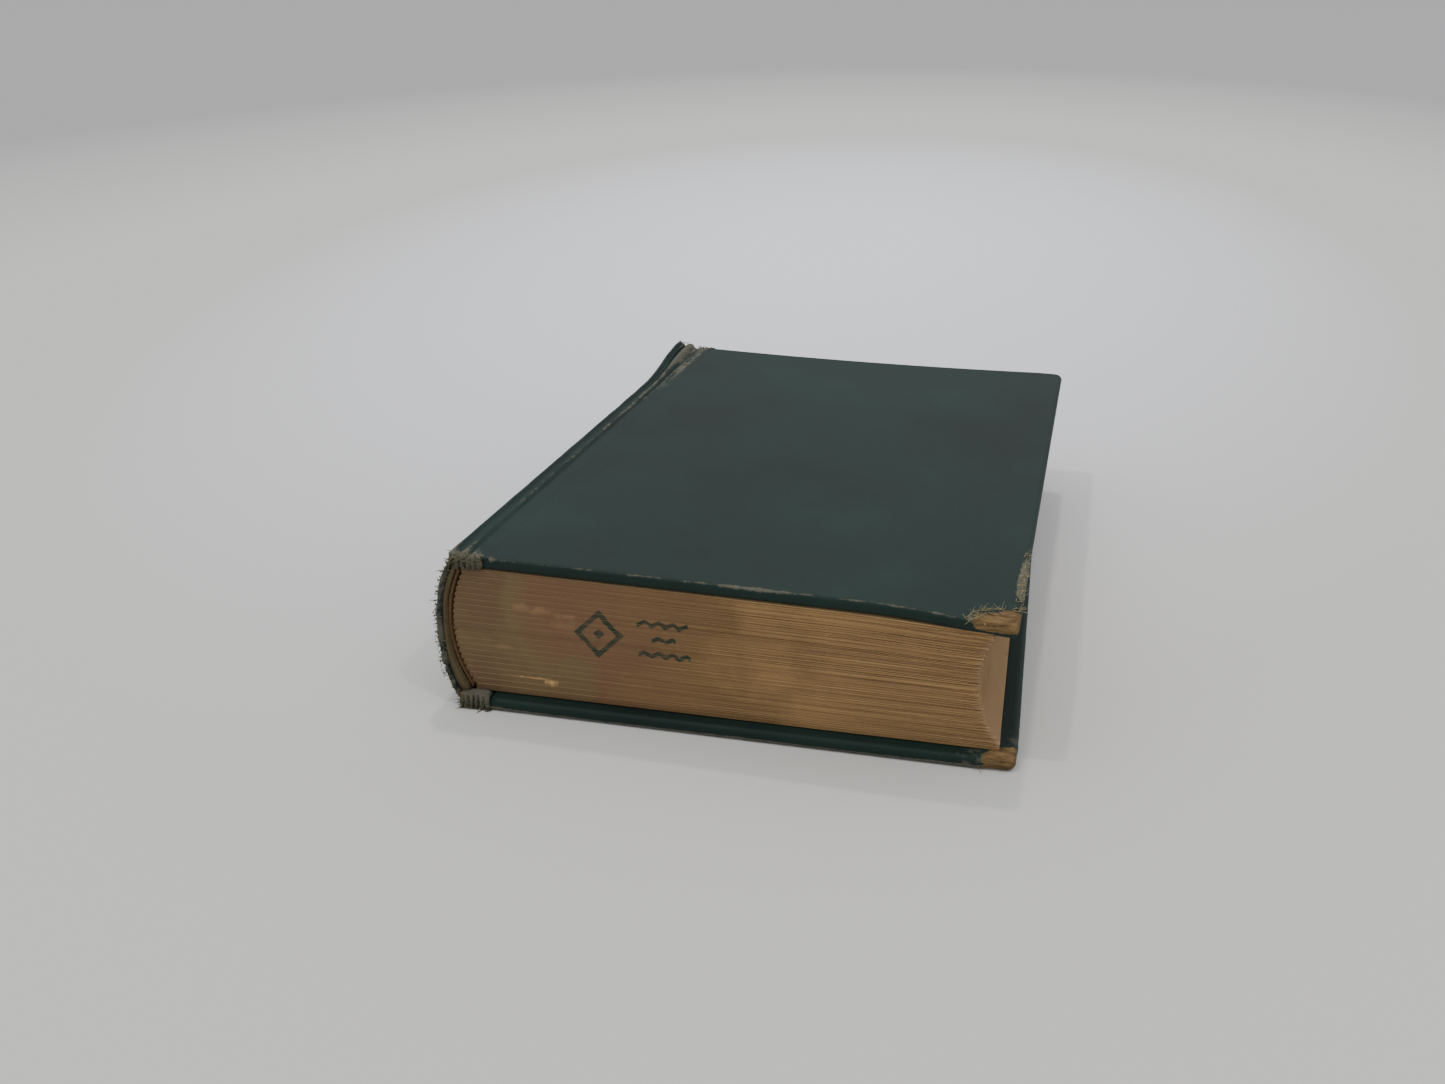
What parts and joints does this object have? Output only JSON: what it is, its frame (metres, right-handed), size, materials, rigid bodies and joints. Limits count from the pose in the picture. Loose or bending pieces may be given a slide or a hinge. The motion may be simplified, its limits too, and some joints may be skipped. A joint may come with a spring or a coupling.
{
  "type": "prayer book",
  "caption": "Thick cloth-bound prayer book with hinged covers, a sewn text block that opens in the middle, flyleaves and a rounded hollow spine.",
  "frame": {"origin": "middle of the underside of the whole closed book's box", "axes": "+X from the spine to the fore edge, +Y from the tail to the head, +Z from the back cover to the front cover"},
  "size_m": [0.1273, 0.1836, 0.033],
  "materials": {
    "book_cloth": "dark green book cloth, rubbed at the edges",
    "pulp_board": "ochre straw board",
    "brown_card": "thin brown card",
    "brown_paper": "brown lining paper",
    "linen": "unbleached linen",
    "linen_thread": "waxed linen thread",
    "endpaper": "aged plain endpaper",
    "text_paper": "aged text paper, browned at its edges"
  },
  "bodies": {
    "text_lower": {"section_01": "text_paper", "section_02": "text_paper", "section_03": "text_paper", "section_04": "text_paper", "section_05": "text_paper", "section_06": "text_paper", "section_07": "text_paper", "section_08": "text_paper", "section_09": "text_paper", "section_10": "text_paper", "kettle_stitches": "linen_thread", "mull": "linen", "sewing_tape_head": "linen", "sewing_tape_middle": "linen", "sewing_tape_tail": "linen", "spine_card": "brown_card", "spine_cloth": "book_cloth", "spine_lining_paper": "brown_paper"},
    "text_upper": {"section_11": "text_paper", "section_12": "text_paper", "section_13": "text_paper", "section_14": "text_paper", "section_15": "text_paper", "section_16": "text_paper", "section_17": "text_paper", "section_18": "text_paper", "section_19": "text_paper", "section_20": "text_paper"},
    "back_cover": {"back_board": "pulp_board", "back_cover_cloth": "book_cloth", "back_pastedown": "endpaper", "back_joint_cloth": "book_cloth"},
    "front_cover": {"front_board": "pulp_board", "front_cover_cloth": "book_cloth", "front_pastedown": "endpaper", "front_joint_cloth": "book_cloth"},
    "back_flyleaf": {"back_flyleaf": "endpaper"},
    "front_flyleaf": {"front_flyleaf": "endpaper"},
    "centre_leaf_1": {"centre_leaf_1": "text_paper"},
    "centre_leaf_2": {"centre_leaf_2": "text_paper"},
    "centre_leaf_3": {"centre_leaf_3": "text_paper"},
    "centre_leaf_4": {"centre_leaf_4": "text_paper"}
  },
  "joints": [
    {"name": "text_opening", "type": "hinge", "parent": "text_lower", "child": "text_upper", "pos_m": [-0.06384, -0.09176, 0.0165], "axis": [-0.0183, -0.9998, 0], "range_deg": [0, 180], "deforming": ["kettle_stitches", "mull", "sewing_tape_head", "sewing_tape_middle", "sewing_tape_tail", "spine_card", "spine_cloth", "spine_lining_paper"]},
    {"name": "front_flyleaf_turn", "type": "hinge", "parent": "text_upper", "child": "front_flyleaf", "pos_m": [-0.05771, -0.08596, 0.02987], "axis": [0.0366, 0.9993, 0], "range_deg": [-180, 0]},
    {"name": "front_cover_hinge", "type": "hinge", "parent": "front_flyleaf", "child": "front_cover", "pos_m": [-0.0595, -0.08611, 0.03315], "axis": [-0.0366, -0.9993, 0], "range_deg": [0, 180], "deforming": ["front_joint_cloth"]},
    {"name": "back_flyleaf_turn", "type": "hinge", "parent": "text_lower", "child": "back_flyleaf", "pos_m": [-0.05501, -0.08856, 0.00313], "axis": [0, -1, 0], "range_deg": [-180, 0]},
    {"name": "back_cover_hinge", "type": "hinge", "parent": "back_flyleaf", "child": "back_cover", "pos_m": [-0.05761, -0.09176, -0.00015], "axis": [0, 1, 0], "range_deg": [0, 180], "deforming": ["back_joint_cloth"]},
    {"name": "centre_leaf_1_turn", "type": "hinge", "parent": "text_lower", "child": "centre_leaf_1", "pos_m": [-0.06384, -0.09176, 0.0165], "axis": [-0.0183, -0.9998, 0], "range_deg": [0, 21.6]},
    {"name": "centre_leaf_2_turn", "type": "hinge", "parent": "text_lower", "child": "centre_leaf_2", "pos_m": [-0.06384, -0.09176, 0.0165], "axis": [-0.0183, -0.9998, 0], "range_deg": [0, 54]},
    {"name": "centre_leaf_3_turn", "type": "hinge", "parent": "text_lower", "child": "centre_leaf_3", "pos_m": [-0.06384, -0.09176, 0.0165], "axis": [-0.0183, -0.9998, 0], "range_deg": [0, 133.2]},
    {"name": "centre_leaf_4_turn", "type": "hinge", "parent": "text_lower", "child": "centre_leaf_4", "pos_m": [-0.06384, -0.09176, 0.0165], "axis": [-0.0183, -0.9998, 0], "range_deg": [0, 163.8]}
  ],
  "couplings": [
    {"joint": "centre_leaf_1_turn", "follows": "text_opening", "ratio": 0.12},
    {"joint": "centre_leaf_2_turn", "follows": "text_opening", "ratio": 0.3},
    {"joint": "centre_leaf_3_turn", "follows": "text_opening", "ratio": 0.74},
    {"joint": "centre_leaf_4_turn", "follows": "text_opening", "ratio": 0.91}
  ]
}
